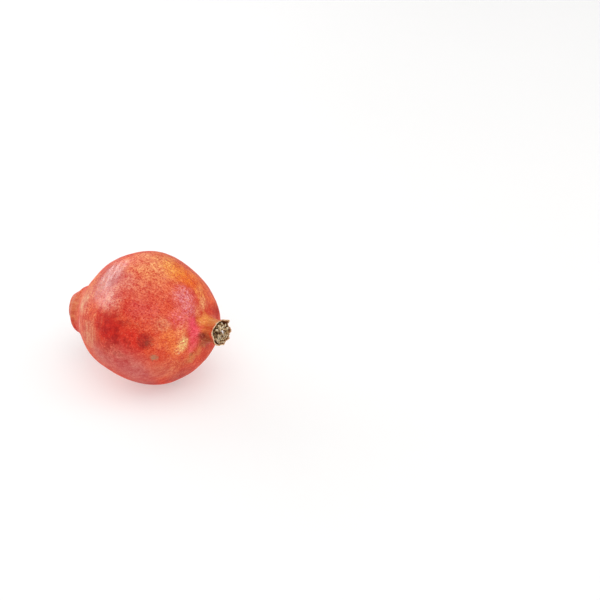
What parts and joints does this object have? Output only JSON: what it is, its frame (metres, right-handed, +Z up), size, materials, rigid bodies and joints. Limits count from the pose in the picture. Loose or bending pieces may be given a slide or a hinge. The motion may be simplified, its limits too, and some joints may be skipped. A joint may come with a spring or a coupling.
{
  "type": "pomegranate",
  "caption": "Whole pomegranate lying on its side, with a stem knob at one end and a broken open crown full of dried stamens at the other.",
  "frame": {"origin": "on the table, inside the flat spot that the fruit rests on, below the middle of its belly", "axes": "+X along the fruit's length towards the crown, +Z up, +Y to the left when looking towards the crown"},
  "size_m": [0.1237, 0.0904, 0.0909],
  "materials": {
    "rind": "smooth leathery skin, softly glossy, coral red mottled with pink, crimson and amber",
    "stamens": "dry, matte, tan filaments and cream anthers",
    "stem": "dry bark with a pale cut end"
  },
  "bodies": {
    "root": {"rind": "rind", "stamens": "stamens", "stem_stub": "stem"}
  },
  "joints": []
}
